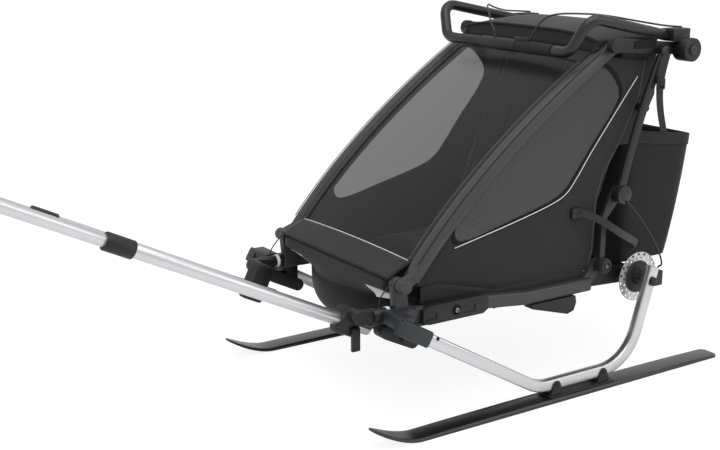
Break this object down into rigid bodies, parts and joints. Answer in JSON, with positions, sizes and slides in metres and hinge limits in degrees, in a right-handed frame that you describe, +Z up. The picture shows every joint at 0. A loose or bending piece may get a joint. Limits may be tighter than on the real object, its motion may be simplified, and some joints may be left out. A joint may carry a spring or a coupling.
{
  "type": "child bike trailer",
  "caption": "Child trailer with fabric cabin, folding frame, push bar and cargo bag, riding on skis on bent legs and pulled by telescopic tow poles.",
  "frame": {"origin": "centre of the overall box, at the height of the ski soles", "axes": "+Z up, +Y to the rear, so the trailer faces -Y; +X is the trailer's own left"},
  "size_m": [0.815, 2.6276, 0.9983],
  "materials": {
    "frame_tube": "satin dark grey powder coat",
    "black_shell": "satin black moulding",
    "blue_black_shell": "satin blue-black moulding",
    "bright_aluminium": "anodised, satin bright",
    "link_aluminium": "anodised, dull grey",
    "rotor_steel": "brushed",
    "ski_top": "glossy black top sheet",
    "grip_rubber": "soft matte",
    "cable_black": "black outer casing",
    "panel_fabric": "dense dark grey weave",
    "cushion_fabric": "padded dark grey weave",
    "bag_fabric": "black weave"
  },
  "bodies": {
    "chassis": {"base_frame": "frame_tube", "rear_axle_beam": "black_shell", "footwell_tub": "panel_fabric", "seat_cushion": "cushion_fabric", "seat_back": "cushion_fabric", "cargo_bag": "bag_fabric", "left_hitch_socket": "black_shell", "right_hitch_socket": "black_shell", "left_rail_housing": "black_shell", "right_rail_housing": "black_shell", "left_suspension_block": "black_shell", "right_suspension_block": "black_shell", "left_brake_caliper": "black_shell", "right_brake_caliper": "black_shell", "left_ski_leg": "bright_aluminium", "right_ski_leg": "bright_aluminium", "left_leg_sleeve": "blue_black_shell", "right_leg_sleeve": "blue_black_shell", "left_ski": "ski_top", "right_ski": "ski_top", "left_ski_mount": "black_shell", "right_ski_mount": "black_shell", "left_clamp_arm": "black_shell", "right_clamp_arm": "black_shell", "left_side_panel": "panel_fabric", "right_side_panel": "panel_fabric", "left_lower_brake_cable": "cable_black", "right_lower_brake_cable": "cable_black"},
    "folding_front": {"front_frame": "frame_tube", "front_cover": "panel_fabric", "roof_canopy": "panel_fabric", "left_top_bracket": "black_shell", "right_top_bracket": "black_shell"},
    "uprights": {"rear_uprights": "frame_tube"},
    "links": {"lower_links": "link_aluminium"},
    "push_bar": {"handlebar": "frame_tube", "grip_housing": "black_shell", "left_handle_hub": "black_shell", "right_handle_hub": "black_shell", "left_upper_brake_cable": "cable_black", "right_upper_brake_cable": "cable_black"},
    "brake_grip": {"twist_grip": "grip_rubber"},
    "left_bar_release": {"left_release_button": "grip_rubber"},
    "left_wheel_hub": {"left_hub": "black_shell", "left_brake_rotor": "rotor_steel"},
    "left_axle_release": {"left_axle_button": "black_shell"},
    "left_pole_clamp": {"left_clamp_head": "black_shell", "left_rear_pole": "bright_aluminium", "left_pole_collar": "black_shell"},
    "left_pole_lever": {"left_clamp_lever": "black_shell"},
    "left_telescope": {"left_front_pole": "bright_aluminium"},
    "right_bar_release": {"right_release_button": "grip_rubber"},
    "right_wheel_hub": {"right_hub": "black_shell", "right_brake_rotor": "rotor_steel"},
    "right_axle_release": {"right_axle_button": "black_shell"},
    "right_pole_clamp": {"right_clamp_head": "black_shell", "right_rear_pole": "bright_aluminium", "right_pole_collar": "black_shell"},
    "right_pole_lever": {"right_clamp_lever": "black_shell"},
    "right_telescope": {"right_front_pole": "bright_aluminium"}
  },
  "joints": [
    {"name": "fold", "type": "hinge", "parent": "chassis", "child": "folding_front", "pos_m": [0, 0.26582, 0.365], "axis": [1, 0, 0], "range_deg": [-30, 0], "deforming": ["left_side_panel", "right_side_panel", "seat_back", "cargo_bag", "left_lower_brake_cable", "right_lower_brake_cable"]},
    {"name": "upright_fold", "type": "hinge", "parent": "folding_front", "child": "uprights", "pos_m": [0, 1.09582, 0.89], "axis": [1, 0, 0], "range_deg": [-60, 0]},
    {"name": "link_fold", "type": "hinge", "parent": "chassis", "child": "links", "pos_m": [0, 0.91732, 0.3195], "axis": [1, 0, 0], "range_deg": [0, 32]},
    {"name": "bar_pivot", "type": "hinge", "parent": "folding_front", "child": "push_bar", "pos_m": [0, 1.17082, 0.893], "axis": [1, 0, 0], "range_deg": [-165, 0]},
    {"name": "brake_twist", "type": "hinge", "parent": "push_bar", "child": "brake_grip", "pos_m": [0.2, 0.81482, 0.897], "axis": [1, 0, 0], "range_deg": [0, 40], "stiffness_Nm_per_rad": 1.2},
    {"name": "left_bar_release_press", "type": "slide", "parent": "push_bar", "child": "left_bar_release", "axis": [-1, 0, 0], "range_m": [0, 0.003], "stiffness_N_per_m": 600},
    {"name": "left_hub_spin", "type": "hinge", "parent": "chassis", "child": "left_wheel_hub", "pos_m": [0.33, 1.04082, 0.271], "axis": [1, 0, 0], "continuous": true},
    {"name": "left_axle_release_press", "type": "slide", "parent": "chassis", "child": "left_axle_release", "axis": [-1, 0, 0], "range_m": [0, 0.004], "stiffness_N_per_m": 600},
    {"name": "left_pole_pitch", "type": "hinge", "parent": "chassis", "child": "left_pole_clamp", "pos_m": [0.225, 0.15582, 0.297], "axis": [1, 0, 0], "range_deg": [-45, 28]},
    {"name": "left_lever_flip", "type": "hinge", "parent": "left_pole_clamp", "child": "left_pole_lever", "pos_m": [0.2533, 0.15582, 0.263], "axis": [0, -1, 0], "range_deg": [0, 90]},
    {"name": "left_pole_slide", "type": "slide", "parent": "left_pole_clamp", "child": "left_telescope", "axis": [0, 0.8988, -0.4384], "range_m": [0, 0.4]},
    {"name": "right_bar_release_press", "type": "slide", "parent": "push_bar", "child": "right_bar_release", "axis": [1, 0, 0], "range_m": [0, 0.003], "stiffness_N_per_m": 600},
    {"name": "right_hub_spin", "type": "hinge", "parent": "chassis", "child": "right_wheel_hub", "pos_m": [-0.33, 1.04082, 0.271], "axis": [1, 0, 0], "continuous": true},
    {"name": "right_axle_release_press", "type": "slide", "parent": "chassis", "child": "right_axle_release", "axis": [1, 0, 0], "range_m": [0, 0.004], "stiffness_N_per_m": 600},
    {"name": "right_pole_pitch", "type": "hinge", "parent": "chassis", "child": "right_pole_clamp", "pos_m": [-0.225, 0.15582, 0.297], "axis": [1, 0, 0], "range_deg": [-45, 28]},
    {"name": "right_lever_flip", "type": "hinge", "parent": "right_pole_clamp", "child": "right_pole_lever", "pos_m": [-0.2533, 0.15582, 0.263], "axis": [0, 1, 0], "range_deg": [0, 90]},
    {"name": "right_pole_slide", "type": "slide", "parent": "right_pole_clamp", "child": "right_telescope", "axis": [0, 0.8988, -0.4384], "range_m": [0, 0.4]}
  ],
  "couplings": [
    {"joint": "upright_fold", "follows": "fold", "ratio": 1.88},
    {"joint": "link_fold", "follows": "fold", "ratio": -0.95}
  ]
}
